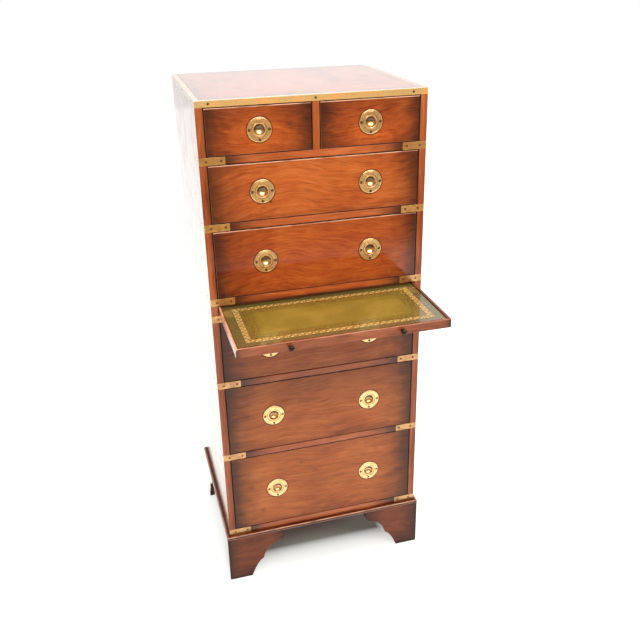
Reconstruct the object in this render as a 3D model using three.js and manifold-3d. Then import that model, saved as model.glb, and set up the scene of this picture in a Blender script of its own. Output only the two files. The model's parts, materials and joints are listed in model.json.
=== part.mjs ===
import * as THREE from 'three';
import { mergeVertices } from 'three/addons/utils/BufferGeometryUtils.js';
import Module from 'manifold-3d';

// A tall campaign chest: two short drawers over five long ones, with a leather-lined
// brushing slide drawn out between the third and fourth rows. Millimetres, +Z up, the
// front towards -Y. The carcass front is modelled at y = 0 and the floor at z = 0. At
// the end the whole chest moves along Y, so that the origin is under its middle.

// Clearances
const seatGap = 0.3;
const cutOverrun = 2;
const drawerSideGap = 1.5;
const drawerTopGap = 1.8;
const drawerBottomGap = 1.2;
const drawerBackGap = 12;

// Carcass
const chestHeight = 1221.5;
const carcassWidth = 500;
const carcassDepth = 415;
const sideThickness = 16;
const topThickness = 13.4;
const backThickness = 7.7;
const backRebateWidth = 8;
const dividerThickness = 16;

// Rails, and the openings between them
const railHeight = 16.6;
const frontRailDepth = 45;
const backRailDepth = 30;
const runnerWidth = 34;
const muntinWidth = 60;
const dustPanelThickness = 5;
const slideSlotHeight = 23.8;

// Brass let into the wood
const strapLength = 55;
const strapThickness = 1.2;
const edgingThickness = 1.5;
const edgingTopWidth = 12;

// Base frame and bracket feet
const baseOverhang = 8;
const baseFrameHeight = 9.2;
const baseFrameInset = 24;
const beadProjection = 0.6;
const quirkDepth = 1.8;
const footHeight = 127.2;
const footWidth = 58;
const bracketReach = 148;
const footBoardThickness = 14;
const glueBlockWidth = 32;
const glueBlockLift = 3;

// Brushing slide
const slideExtension = 212;
const slideThickness = 20;
const slideDepth = 395;
const slideSideGap = 1.5;
const slideLipWidth = 6;
const slideLipHeight = 3;
const leatherThickness = 1;
const leatherDepth = 214;
const cleatHeight = 5;
const cleatDepth = 20;
const cleatWidth = 120;
const knobLength = 16;
const knobRadius = 6.5;
const knobShankRadius = 2.2;
const knobShankLength = 10;

// Drawers
const frontThickness = 19;
const frontEdgeRadius = 2;
const boxWallThickness = 10;
const boxBottomThickness = 4;
const boxBottomLift = 7;
const boxTopGap = 8;

// Ring handles
const plateRadius = 26;
const plateThickness = 2.2;
const plateProud = 0.8;
const plateRimWidth = 1.6;
const plateWall = 1.2;
const ringRadius = 13.75;
const ringHalfWidth = 1.95;
const ringThickness = 2.8;
const ringSideGap = 0.5;
const ringOverhang = 1.2;
const bowlDepth = 8;
const tabLength = 5.9;
const tabHalfWidth = 5.6;
const tabSideGap = 0.4;
const hingePinRadius = 0.8;
const hingePinLength = 1.4;
const lugWall = 2.2;

// Facets of the round shapes
const handleFacets = 16;
const ringSectionFacets = 6;
const knobFacets = 12;
const pinFacets = 6;
const bowlSteps = 2;
const footCurveSteps = 5;

// Sizes that follow for the carcass
const halfWidth = carcassWidth / 2;
const innerHalf = halfWidth - sideThickness;
const rebateY = carcassDepth - backThickness - seatGap;
const baseFrameBottom = footHeight + seatGap;
const carcassBottom = baseFrameBottom + baseFrameHeight + seatGap;
const handleX = (innerHalf + dividerThickness / 2) / 2;

const carcassTop = chestHeight - topThickness - seatGap;

// The bays from the floor up. Each stands on its own rail and has a floor and a ceiling.
// The shares are of the height that the rails and the slide leave to the drawers.
const bayNames = ['row_6', 'row_5', 'row_4', 'slide', 'row_3', 'row_2', 'row_1'];
const bayShares = [0.226, 0.1975, 0.1657, 0, 0.1667, 0.1362, 0.1079];
const rowsHeight = carcassTop - carcassBottom - bayNames.length * railHeight - slideSlotHeight;
const bays = {};
let level = carcassBottom;
for (const [i, name] of bayNames.entries()) {
  const height = name === 'slide' ? slideSlotHeight : bayShares[i] * rowsHeight;
  const floor = level + railHeight;
  bays[name] = { rail: level, floor, ceiling: floor + height };
  level = floor + height;
}

// Sizes that follow for the slide
const slideHalf = innerHalf - slideSideGap;
const slideBottom = bays.slide.floor + seatGap;
const slideTop = slideBottom + slideThickness;
const leatherHalf = slideHalf - slideLipWidth - seatGap;
const leatherFront = slideLipWidth + seatGap - slideExtension;
const leatherFloor = slideTop - slideLipHeight - leatherThickness - seatGap;
const knobZ = (slideBottom + slideTop) / 2;

// Sizes that follow for the handles. Depths count from the plate's face into the drawer.
const pivotOffset = ringRadius + ringHalfWidth + tabLength;
const ringDepth = ringThickness / 2;
const channelRadius = ringRadius + ringHalfWidth + ringSideGap;
const channelDepth = ringThickness + seatGap;
const channelBack = channelDepth + plateWall;
const bowlRadius = ringRadius - ringHalfWidth + ringOverhang;
const bowlBottom = channelDepth + bowlDepth;
const lugHalfWidth = tabHalfWidth + tabSideGap + lugWall;
const tabSlotTop = pivotOffset + ringDepth + seatGap;
const lugTop = tabSlotTop + lugWall / 2;

// Finishes
function finish(color, roughness, metalness) {
  return new THREE.MeshStandardMaterial({ color, roughness, metalness });
}

const wood = finish(0xa4501f, 0.35, 0);
const darkWood = finish(0x7a3b22, 0.4, 0);
const innerWood = finish(0xb08a5a, 0.7, 0);
const brass = finish(0xc79a45, 0.3, 1);
const agedMetal = finish(0x3d3a38, 0.4, 0.8);
const leather = finish(0x8f7a24, 0.6, 0);

const wasm = await Module();
wasm.setup();

// Turns a closed geometry into a solid that can be cut and joined, its faces pointing out.
function solidOf(geometry) {
  const plain = geometry.index ? geometry.toNonIndexed() : geometry.clone();
  plain.deleteAttribute('normal');
  plain.deleteAttribute('uv');
  const merged = mergeVertices(plain);
  const positions = merged.attributes.position;
  const triVerts = Uint32Array.from(merged.index.array);
  const [a, b, c] = [new THREE.Vector3(), new THREE.Vector3(), new THREE.Vector3()];
  let volume = 0;
  for (let i = 0; i < triVerts.length; i += 3) {
    [a, b, c].forEach((corner, k) => corner.fromBufferAttribute(positions, triVerts[i + k]));
    volume += a.dot(b.cross(c));
  }
  if (volume < 0) triVerts.reverse();
  const vertProperties = Float32Array.from(positions.array);
  return new wasm.Manifold(new wasm.Mesh({ numProp: 3, vertProperties, triVerts }));
}

function geometryOf(solid) {
  const mesh = solid.getMesh();
  const geometry = new THREE.BufferGeometry();
  geometry.setAttribute('position', new THREE.BufferAttribute(mesh.vertProperties, mesh.numProp));
  geometry.setIndex(new THREE.BufferAttribute(mesh.triVerts, 1));
  geometry.computeVertexNormals();
  return geometry;
}

const cut = (body, ...tools) => tools.reduce((result, tool) => result.subtract(tool), body);
const join = (body, ...pieces) => pieces.reduce((result, piece) => result.add(piece), body);
const moved = (solid, x, y, z) => solidOf(geometryOf(solid).translate(x, y, z));

function box([x0, x1], [y0, y1], [z0, z1]) {
  const geometry = new THREE.BoxGeometry(x1 - x0, y1 - y0, z1 - z0);
  geometry.translate((x0 + x1) / 2, (y0 + y1) / 2, (z0 + z1) / 2);
  return solidOf(geometry);
}

// Extrudes an outline of [a, b] points; place turns (a, b, height) into [x, y, z].
function prism(outline, height, place) {
  const shape = new THREE.Shape(outline.map(([a, b]) => new THREE.Vector2(a, b)));
  const geometry = new THREE.ExtrudeGeometry(shape, { depth: height, bevelEnabled: false });
  const positions = geometry.attributes.position;
  for (let i = 0; i < positions.count; i++) {
    positions.setXYZ(i, ...place(positions.getX(i), positions.getY(i), positions.getZ(i)));
  }
  return solidOf(geometry);
}

// A turned solid about the Y axis, from [radius, y] points.
function turned(profile, facets) {
  const points = profile.map(([radius, y]) => new THREE.Vector2(radius, y));
  return solidOf(new THREE.LatheGeometry(points, facets));
}

function rodAlongX(radius, halfLength, y, z) {
  const geometry = new THREE.CylinderGeometry(radius, radius, 2 * halfLength, pinFacets);
  geometry.rotateZ(Math.PI / 2);
  geometry.translate(0, y, z);
  return solidOf(geometry);
}

// Joins rings that have the same number of points. A loop of rings closes on itself, and
// a run of rings is capped by fans from each end's first point.
function skin(rings, looped) {
  const count = rings[0].length;
  const corners = [];
  const spans = looped ? rings.length : rings.length - 1;
  for (let i = 0; i < spans; i++) {
    const next = rings[(i + 1) % rings.length];
    for (let k = 0; k < count; k++) {
      const l = (k + 1) % count;
      corners.push(rings[i][k], rings[i][l], next[l], rings[i][k], next[l], next[k]);
    }
  }
  const [first, last] = [rings[0], rings[rings.length - 1]];
  for (let k = 1; !looped && k < count - 1; k++) {
    corners.push(first[0], first[k + 1], first[k], last[0], last[k], last[k + 1]);
  }
  const geometry = new THREE.BufferGeometry();
  geometry.setAttribute('position', new THREE.Float32BufferAttribute(corners.flat(), 3));
  return solidOf(geometry);
}

// Carcass

// The shallow hollows that the straps are let into, at both ends of every rail.
function strapRecesses() {
  const recesses = [];
  for (const bay of Object.values(bays)) {
    const heights = [bay.rail, bay.rail + railHeight];
    for (const side of [-1, 1]) {
      const ends = (inset) => [side * (halfWidth + cutOverrun), side * (halfWidth - inset)];
      const reach = (inset) => [Math.min(...ends(inset)), Math.max(...ends(inset))];
      recesses.push(box(reach(strapLength), [-cutOverrun, strapThickness], heights));
      recesses.push(box(reach(strapThickness), [-cutOverrun, strapLength], heights));
    }
  }
  return recesses;
}

const recesses = strapRecesses();

function sidePanel(side) {
  const outline = [
    [halfWidth, 0],
    [innerHalf, 0],
    [innerHalf, rebateY],
    [halfWidth - backRebateWidth, rebateY],
    [halfWidth - backRebateWidth, carcassDepth],
    [halfWidth, carcassDepth],
  ];
  const height = carcassTop - carcassBottom;
  const board = prism(outline, height, (x, y, z) => [side * x, y, carcassBottom + z]);
  return cut(board, ...recesses);
}

// The top panel, stepped down at the front and sides for its brass edging.
function topPanel() {
  const edge = edgingThickness + seatGap;
  const step = edgingTopWidth + seatGap;
  const bottom = carcassTop + seatGap;
  return join(
    box([edge - halfWidth, halfWidth - edge], [edge, carcassDepth], [bottom, chestHeight - edge]),
    box([step - halfWidth, halfWidth - step], [step, carcassDepth], [bottom, chestHeight]),
  );
}

// The brass angle round the front and sides of the top, mitred at the front corners. Its
// section is given by how far each point lies in from the edge and down from the top.
function topEdging() {
  const drop = chestHeight - carcassTop - seatGap;
  const section = [
    [0, 0],
    [edgingTopWidth, 0],
    [edgingTopWidth, edgingThickness],
    [edgingThickness, edgingThickness],
    [edgingThickness, drop],
    [0, drop],
  ];
  const ring = (side, atBack) => section.map(([inset, down]) => [
    side * (halfWidth - inset),
    atBack ? carcassDepth : inset,
    chestHeight - down,
  ]);
  return skin([ring(-1, true), ring(-1, false), ring(1, false), ring(1, true)], false);
}

function backPanel() {
  const half = halfWidth - backRebateWidth - seatGap;
  return box([-half, half], [rebateY + seatGap, carcassDepth], [carcassBottom, carcassTop]);
}

// A front rail with its runners, back rail and dust panel. The panes are the stretches
// between the runners, where the dust panel lies back from both faces.
function railFrame(bay, panes) {
  const half = innerHalf - seatGap;
  const sink = (railHeight - dustPanelThickness) / 2;
  const depth = [frontRailDepth, rebateY - backRailDepth];
  const pans = panes.flatMap((pane) => [
    box(pane, depth, [bay.floor - sink, bay.floor + cutOverrun]),
    box(pane, depth, [bay.rail - cutOverrun, bay.rail + sink]),
  ]);
  return cut(box([-half, half], [0, rebateY], [bay.rail, bay.floor]), ...pans, ...recesses);
}

function centreDivider() {
  const half = dividerThickness / 2;
  return box([-half, half], [0, rebateY], [bays.row_1.floor + seatGap, carcassTop]);
}

// Base

// The moulded frame under the carcass: a nose, a quirk and a bead along the front and
// sides, and a plain back. Its section is given as overhangs and shares of its height.
function baseFrame() {
  const bead = baseOverhang + beadProjection;
  const sectionShares = [
    [-baseFrameInset, 0],
    [baseOverhang, 0],
    [bead, 0.1],
    [bead, 0.26],
    [bead - quirkDepth, 0.4],
    [bead - quirkDepth, 0.48],
    [bead, 0.6],
    [bead, 0.82],
    [baseOverhang - beadProjection, 1],
    [-baseFrameInset, 1],
  ];
  const ring = (side, atBack) => sectionShares.map(([overhang, share]) => [
    side * (halfWidth + overhang),
    atBack ? carcassDepth + Math.min(overhang, 0) : -overhang,
    baseFrameBottom + share * baseFrameHeight,
  ]);
  return skin([ring(-1, true), ring(-1, false), ring(1, false), ring(1, true)], true);
}

// The bracket's outline, inwards from its outer corner: three hollow curves that meet in
// two cusps. The shares are of the stretch past the foot and of the foot's height.
function bracketOutline() {
  const curveShares = [
    [[0, 0], [0.17, 0.33], [0.36, 0.4]],
    [[0.36, 0.4], [0.44, 0.7], [0.89, 0.78]],
    [[0.89, 0.78], [1, 0.81], [1, 1]],
  ];
  const outline = [[0, 0]];
  for (const shares of curveShares) {
    const points = shares.map(([across, up]) => new THREE.Vector2(
      footWidth + across * (bracketReach - footWidth),
      up * footHeight,
    ));
    const steps = new THREE.QuadraticBezierCurve(...points).getPoints(footCurveSteps);
    steps.slice(outline.length > 1 ? 1 : 0).forEach((point) => outline.push([point.x, point.y]));
  }
  return [...outline, [0, footHeight]];
}

// Two boards that meet at the corner, with a glue block in their angle. At the back of
// the chest the board across is plain and tapered.
function foot(side, atBack) {
  const outerX = halfWidth + baseOverhang;
  const outerY = atBack ? carcassDepth : -baseOverhang;
  const inwards = atBack ? -1 : 1;
  const at = (acrossX, acrossY, z) => [side * (outerX - acrossX), outerY + inwards * acrossY, z];
  const plainOutline = [[0, 0], [footWidth, 0], [bracketReach, footHeight], [0, footHeight]];
  const boardAcross = atBack ? plainOutline : bracketOutline();
  const blockStart = footBoardThickness / 2;
  const blockEnd = footBoardThickness + glueBlockWidth;
  const blockOutline = [
    [blockStart, blockStart],
    [blockEnd, blockStart],
    [blockEnd, blockEnd],
    [blockStart, blockEnd],
  ];
  return join(
    prism(boardAcross, footBoardThickness, (a, b, h) => at(a, h, b)),
    prism(bracketOutline(), footBoardThickness, (a, b, h) => at(h, a, b)),
    prism(blockOutline, footHeight - glueBlockLift, (a, b, h) => at(a, b, glueBlockLift + h)),
  );
}

// Brushing slide

// The board, with a lip round the leather, holes for the knobs, and a cleat that meets
// the rail above when the slide is drawn right out.
function slideBoard() {
  const depth = [-slideExtension, slideDepth - slideExtension];
  const cleatFront = frontRailDepth + seatGap;
  const holeRadius = knobShankRadius + seatGap;
  const holeDepth = knobShankLength + seatGap;
  const hole = turned([
    [0, -cutOverrun],
    [holeRadius, -cutOverrun],
    [holeRadius, holeDepth],
    [0, holeDepth],
  ], knobFacets);
  const board = box([-slideHalf, slideHalf], depth, [slideBottom, slideTop]);
  const cleat = box(
    [-cleatWidth / 2, cleatWidth / 2],
    [cleatFront, cleatFront + cleatDepth],
    [knobZ, slideTop + cleatHeight],
  );
  return cut(
    join(board, cleat),
    box(
      [-leatherHalf - seatGap, leatherHalf + seatGap],
      [leatherFront - seatGap, leatherFront + leatherDepth + seatGap],
      [leatherFloor, slideTop + cutOverrun],
    ),
    moved(hole, -handleX, -slideExtension, knobZ),
    moved(hole, handleX, -slideExtension, knobZ),
  );
}

function slideLeather() {
  const bottom = leatherFloor + seatGap;
  const depth = [leatherFront, leatherFront + leatherDepth];
  return box([-leatherHalf, leatherHalf], depth, [bottom, bottom + leatherThickness]);
}

// A turned knob on its shank. The shares are of the knob's radius and length.
function slideKnob() {
  const headShares = [
    [0.7, 0],
    [0.7, 0.1],
    [0.45, 0.18],
    [0.5, 0.34],
    [0.92, 0.5],
    [1, 0.68],
    [0.82, 0.88],
    [0.42, 0.98],
    [0, 1],
  ];
  const head = headShares.map(([radius, along]) => [
    radius * knobRadius,
    -seatGap - along * (knobLength - seatGap),
  ]);
  const shank = [[0, knobShankLength], [knobShankRadius, knobShankLength], [knobShankRadius, -seatGap]];
  return turned([...shank, ...head], knobFacets);
}

// Ring handles

// A shallow bowl from its middle out to its rim, as [radius, depth] points.
function bowlArc(radius, rimDepth, middleDepth) {
  const sag = middleDepth - rimDepth;
  const sphereRadius = (radius ** 2 + sag ** 2) / (2 * sag);
  const points = [];
  for (let i = 0; i <= bowlSteps; i++) {
    const out = radius * Math.sin((i / bowlSteps) * (Math.PI / 2));
    points.push([out, middleDepth - sphereRadius + Math.sqrt(sphereRadius ** 2 - out ** 2)]);
  }
  return points;
}

// A round plate with a finger bowl, a channel round it for the ring, and a lug behind
// that holds the tab's barrel and pin.
function handlePlate() {
  const channelOutside = channelRadius + plateWall;
  const plate = turned([
    ...bowlArc(bowlRadius, channelDepth, bowlBottom),
    [channelRadius, channelDepth],
    [channelRadius, 0],
    [plateRadius - plateRimWidth, 0],
    [plateRadius, plateThickness / 2],
    [plateRadius, plateThickness],
    [channelOutside, plateThickness],
    [channelOutside, channelBack],
    ...bowlArc(bowlRadius + plateWall, channelBack, bowlBottom + plateWall).reverse(),
  ], handleFacets);
  const lug = box(
    [-lugHalfWidth, lugHalfWidth],
    [plateThickness / 2, channelBack],
    [channelRadius + plateWall / 2, lugTop],
  );
  const slotHalf = tabHalfWidth + tabSideGap;
  const slot = box([-slotHalf, slotHalf], [-cutOverrun, channelDepth], [ringRadius, tabSlotTop]);
  const pinHoleHalf = tabHalfWidth + hingePinLength + seatGap;
  const pinHole = rodAlongX(hingePinRadius + seatGap, pinHoleHalf, ringDepth, pivotOffset);
  return cut(join(plate, lug), slot, pinHole);
}

// The flattened ring, its tab, and the barrel and pin that it turns on.
function handleBail() {
  const ring = new THREE.TorusGeometry(ringRadius, ringHalfWidth, ringSectionFacets, handleFacets);
  ring.rotateX(Math.PI / 2);
  ring.scale(1, ringDepth / ringHalfWidth, 1);
  ring.translate(0, ringDepth, 0);
  return join(
    solidOf(ring),
    box([-tabHalfWidth, tabHalfWidth], [0, ringThickness], [ringRadius, pivotOffset]),
    rodAlongX(ringDepth, tabHalfWidth, ringDepth, pivotOffset),
    rodAlongX(hingePinRadius, tabHalfWidth + hingePinLength, ringDepth, pivotOffset),
  );
}

// The hollow in a drawer front that takes the plate, its channel and bowl, and its lug.
function handlePocket() {
  const into = (depth) => depth - plateProud + seatGap;
  const wide = plateRadius + seatGap;
  const narrow = channelRadius + plateWall + seatGap;
  const bowlFloor = into(bowlBottom + plateWall);
  const round = turned([
    [0, -cutOverrun],
    [wide, -cutOverrun],
    [wide, into(plateThickness)],
    [narrow, into(plateThickness)],
    [narrow, bowlFloor],
    [0, bowlFloor],
  ], handleFacets);
  const lugRoomHalf = lugHalfWidth + seatGap;
  const lugDepth = [-cutOverrun, into(channelBack)];
  const lugRoom = box([-lugRoomHalf, lugRoomHalf], lugDepth, [ringRadius, lugTop + seatGap]);
  return join(round, lugRoom);
}

// Drawers

// A drawer front with eased face edges, and a pocket for each handle.
function drawerFront([x0, x1], [z0, z1], handlePlaces) {
  const easeShares = [[1, 0], [0.3, 0.3], [0, 1]];
  const ease = easeShares.map(([inset, depth]) => [inset * frontEdgeRadius, depth * frontEdgeRadius]);
  const board = skin([...ease, [0, frontThickness]].map(([inset, y]) => [
    [x0 + inset, y, z0 + inset],
    [x1 - inset, y, z0 + inset],
    [x1 - inset, y, z1 - inset],
    [x0 + inset, y, z1 - inset],
  ]), false);
  const pocket = handlePocket();
  return cut(board, ...handlePlaces.map((x) => moved(pocket, x, 0, (z0 + z1) / 2)));
}

// Two sides, a back and a raised bottom, closed at the front by the drawer front.
function drawerBox([x0, x1], [z0, z1]) {
  const front = frontThickness + seatGap;
  const back = rebateY - drawerBackGap;
  const inside = [x0 + boxWallThickness, x1 - boxWallThickness];
  const floor = z0 + boxBottomLift + boxBottomThickness;
  return cut(
    box([x0, x1], [front, back], [z0, z1]),
    box(inside, [front - cutOverrun, back - boxWallThickness], [floor, z1 + cutOverrun]),
    box(inside, [front - cutOverrun, back + cutOverrun], [z0 - cutOverrun, z0 + boxBottomLift]),
  );
}

// The assembly

const chest = new THREE.Group();

function addPiece(group, name, geometry, material) {
  const mesh = new THREE.Mesh(geometry, material);
  mesh.name = name;
  group.add(mesh);
  return mesh;
}

for (const [side, hand] of [[-1, 'left'], [1, 'right']]) {
  addPiece(chest, `side_panel_${hand}`, geometryOf(sidePanel(side)), wood);
  addPiece(chest, `foot_front_${hand}`, geometryOf(foot(side, false)), darkWood);
  addPiece(chest, `foot_back_${hand}`, geometryOf(foot(side, true)), darkWood);
}
addPiece(chest, 'top_panel', geometryOf(topPanel()), wood);
addPiece(chest, 'top_edging', geometryOf(topEdging()), brass);
addPiece(chest, 'back_panel', geometryOf(backPanel()), innerWood);
addPiece(chest, 'centre_divider', geometryOf(centreDivider()), wood);
addPiece(chest, 'base_frame', geometryOf(baseFrame()), wood);

const paneEdge = innerHalf - runnerWidth;
const widePane = [[-paneEdge, paneEdge]];
const splitPanes = [[-paneEdge, -muntinWidth / 2], [muntinWidth / 2, paneEdge]];
for (const [name, bay] of Object.entries(bays)) {
  const panes = bay === bays.row_1 ? splitPanes : widePane;
  addPiece(chest, `rail_under_${name}`, geometryOf(railFrame(bay, panes)), wood);
}

const slide = new THREE.Group();
chest.add(slide);
addPiece(slide, 'slide_board', geometryOf(slideBoard()), wood);
addPiece(slide, 'slide_leather', geometryOf(slideLeather()), leather);
const knobGeometry = geometryOf(slideKnob());
for (const [side, hand] of [[-1, 'left'], [1, 'right']]) {
  const knob = addPiece(slide, `slide_knob_${hand}`, knobGeometry, agedMetal);
  knob.position.set(side * handleX, -slideExtension, knobZ);
}

const plateGeometry = geometryOf(handlePlate());
const bailGeometry = geometryOf(handleBail());

// A drawer in its bay, with a handle at each given place.
function addDrawer(name, bay, [left, right], handles) {
  const drawer = new THREE.Group();
  const across = [left + drawerSideGap, right - drawerSideGap];
  const face = [bay.floor + drawerBottomGap, bay.ceiling - drawerTopGap];
  const body = [bay.floor + seatGap, bay.ceiling - boxTopGap];
  addPiece(drawer, `${name}_front`, geometryOf(drawerFront(across, face, handles.map(([, x]) => x))), wood);
  addPiece(drawer, `${name}_box`, geometryOf(drawerBox(across, body)), innerWood);
  for (const [hand, x] of handles) {
    const handle = new THREE.Group();
    handle.position.set(x, -plateProud, (face[0] + face[1]) / 2);
    addPiece(handle, `${name}_plate${hand}`, plateGeometry, brass);
    addPiece(handle, `${name}_ring${hand}`, bailGeometry, brass);
    drawer.add(handle);
  }
  chest.add(drawer);
}

addDrawer('drawer_1_left', bays.row_1, [-innerHalf, -dividerThickness / 2], [['', -handleX]]);
addDrawer('drawer_1_right', bays.row_1, [dividerThickness / 2, innerHalf], [['', handleX]]);
for (const row of [2, 3, 4, 5, 6]) {
  const handles = [['_left', -handleX], ['_right', handleX]];
  addDrawer(`drawer_${row}`, bays[`row_${row}`], [-innerHalf, innerHalf], handles);
}

chest.position.y = (slideExtension + knobLength - carcassDepth) / 2;

export default chest;
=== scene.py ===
"""A campaign chest of drawers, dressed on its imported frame. Metres, +Z up, front towards -Y."""

import json
import math

import bmesh
import bpy
from mathutils import Matrix, Vector

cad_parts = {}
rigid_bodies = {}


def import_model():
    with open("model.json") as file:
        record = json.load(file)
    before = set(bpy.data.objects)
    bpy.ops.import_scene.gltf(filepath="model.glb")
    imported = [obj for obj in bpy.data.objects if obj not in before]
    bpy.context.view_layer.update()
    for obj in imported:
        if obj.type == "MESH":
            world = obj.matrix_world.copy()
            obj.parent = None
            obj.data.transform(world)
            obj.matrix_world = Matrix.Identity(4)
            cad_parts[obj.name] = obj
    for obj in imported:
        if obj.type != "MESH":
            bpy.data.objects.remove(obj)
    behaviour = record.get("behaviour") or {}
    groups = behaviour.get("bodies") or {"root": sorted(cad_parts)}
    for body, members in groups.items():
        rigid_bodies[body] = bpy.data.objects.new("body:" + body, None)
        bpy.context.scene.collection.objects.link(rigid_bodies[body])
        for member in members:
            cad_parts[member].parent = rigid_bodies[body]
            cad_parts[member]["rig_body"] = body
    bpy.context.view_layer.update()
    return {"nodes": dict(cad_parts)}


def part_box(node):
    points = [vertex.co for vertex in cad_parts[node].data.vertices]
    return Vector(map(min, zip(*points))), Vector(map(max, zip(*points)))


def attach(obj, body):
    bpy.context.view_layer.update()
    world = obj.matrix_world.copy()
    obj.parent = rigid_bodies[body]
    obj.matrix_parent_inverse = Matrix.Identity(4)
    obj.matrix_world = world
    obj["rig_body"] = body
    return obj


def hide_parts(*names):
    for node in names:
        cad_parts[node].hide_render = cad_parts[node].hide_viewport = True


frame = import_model()

MM = 0.001
X, Y, Z = 0, 1, 2
LEFT, RIGHT, FORWARD, UP, DOWN = (-1, 0, 0), (1, 0, 0), (0, -1, 0), (0, 0, 1), (0, 0, -1)

FACING_COSINE = 0.7

# A box whose corner is moved this far has only its other faces near the wood
FAR_RIGHT, FAR_UP = Vector(RIGHT), Vector(UP)

# Camera, fitted to the chest's straight edges in the photo
FOCAL_PIXELS = 779.06
IMAGE_PIXELS = 640
SENSOR_WIDTH_MM = 36
OPTICAL_AXIS_PIXEL = (333.52, 307.52)
CAMERA_FROM_FRONT = (-430.35 * MM, -1583.47 * MM, 1480.75 * MM)
CAMERA_YAW = 0.2844
CAMERA_PITCH = 0.42429
CAMERA_ROLL = -0.01308

# Lamps, each with its name, its place, the point that it faces, its size and its watts
LAMPS = (
    ("key", (0.2, -1.9, 2.65), (0, 0, 0.8), (3.0, 1.3), 58),
    ("overhead", (0.2, -0.4, 3.1), (0, 0, 0.7), (2.6, 1.5), 32),
    ("left", (-3.0, 0.4, 1.8), (0, 0, 0.6), (1.4, 1.4), 11),
    ("right", (3.0, 0.2, 1.8), (0, 0, 0.6), (1.4, 1.4), 24),
    ("back", (0.5, 2.7, 3.1), (0, 0, 0.6), (1.4, 1.4), 26),
)

# Floor and room
FLOOR_WIDTH = 12.0
FLOOR_FRONT = -2.3
FLOOR_BACK = 7.0
FLOOR_DROP = 0.2 * MM
FLOOR_GLOW_REACH = 0.035
FLOOR_GLOW_INSET = 0.085
FLOOR_TONES = (180, 183, 174), (186, 189, 180)
WHITE = (1, 1, 1, 1)
ROOM_COLOUR = (0.42, 0.34, 0.24, 1.0)
SKY_COLOUR = (0.42, 0.42, 0.42, 1.0)
ROOM_TO_WHITE = (-0.45, 0.1)

# Places read from the frame
FRONT_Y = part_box("side_panel_left")[0].y
CHEST_LOW, CHEST_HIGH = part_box("side_panel_left")[0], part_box("side_panel_right")[1]
SLIDE_LOW, SLIDE_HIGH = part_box("slide_board")
LEATHER_LOW, LEATHER_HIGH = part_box("slide_leather")
RAILS = [f"rail_under_{row}" for row in
         ("row_1", "row_2", "row_3", "slide", "row_4", "row_5", "row_6")]
FRONTS = ["drawer_1_left_front", "drawer_1_right_front"] + [f"drawer_{row}_front" for row in range(2, 7)]
FEET = ["foot_front_left", "foot_front_right", "foot_back_left", "foot_back_right"]

# Ring handles, with depths counted from the plate's face into the drawer
PLATE_RADIUS = 26 * MM
PLATE_RIM = 1.6 * MM
PLATE_THICKNESS = 2.2 * MM
PLATE_WALL = 1.0 * MM
ENGRAVED_RADIUS = 23.4 * MM
ENGRAVED_DEPTH = 0.25 * MM
CHANNEL_RADIUS = 16.2 * MM
CHANNEL_DEPTH = 3.1 * MM
CHANNEL_EASE = 0.2 * MM
BOWL_RADIUS = 13 * MM
BOWL_DEPTH = 8 * MM
RING_RADIUS = 13.75 * MM
RING_HALF_WIDTH = 1.95 * MM
RING_HALF_THICKNESS = 1.4 * MM
RING_SQUARENESS = 0.7
RING_STEPS, RING_SECTION_STEPS = 80, 20
PIVOT_OFFSET = 21.6 * MM
TAB_HALF_WIDTH = 5.6 * MM
TAB_SIDE_GAP = 0.4 * MM
TAB_END_GAP = 0.3 * MM
LUG_SIDE = 2 * MM
LUG_END = 1.4 * MM
LUG_FACE = 1.1 * MM
CUT_MARGIN = 1 * MM
BARREL_EASE = 0.2 * MM
HANDLE_EASE = 0.12 * MM
# Dark lines, each its middle's radius, half width and strength: tarnish in hollows where polish never
# reaches, and painted shade in the ring's gap and at the plate's rim
TARNISH_AND_SHADE_LINES = (
    (CHANNEL_RADIUS, 0.7 * MM, 0.75),
    (BOWL_RADIUS - 1.2 * MM, 0.9 * MM, 0.6),
    (ENGRAVED_RADIUS, 0.5 * MM, 0.55),
    (PLATE_RADIUS, 0.6 * MM, 0.7),
)

# Straps
STRAP_LENGTH = 55 * MM
STRAP_THICKNESS = 1.2 * MM
STRAP_CLEARANCE = 0.05 * MM
STRAP_SCREW_INSETS = (15 * MM, 46 * MM)

# Screws
STRAP_SCREW_RADIUS = 3.0 * MM
HANDLE_SCREW_RADIUS = 3.2 * MM
EDGING_SCREW_RADIUS = 2.8 * MM
SCREW_CROWN = 0.25 * MM
SCREW_BACK = 0.6 * MM
SCREW_SLOT_HALF_WIDTH = 0.3 * MM
SCREW_SLOT_DEPTH = 0.2 * MM
HANDLE_SCREW_CIRCLE = 21.2 * MM
HANDLE_SCREW_TURNS = (0.3, 1.2, 2.1)
EDGING_SCREW_XS = (-222 * MM, 0, 217 * MM)
EDGING_SCREW_SHARES = (0.12, 0.5, 0.88)

# Brushing slide, and its knobs' profile as shares of their radius and length
SLIDE_LIP_HEIGHT = 3 * MM
KNOB_PROFILE = ((0.7, 0), (0.72, 0.06), (0.66, 0.12), (0.42, 0.2), (0.38, 0.28), (0.5, 0.36), (0.8, 0.44),
                (0.96, 0.54), (1.0, 0.64), (0.95, 0.76), (0.8, 0.87), (0.55, 0.95), (0.28, 0.99), (0, 1))
KNOB_ROOT = 0.2 * MM
KNOB_SINK = 0.3 * MM

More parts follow.
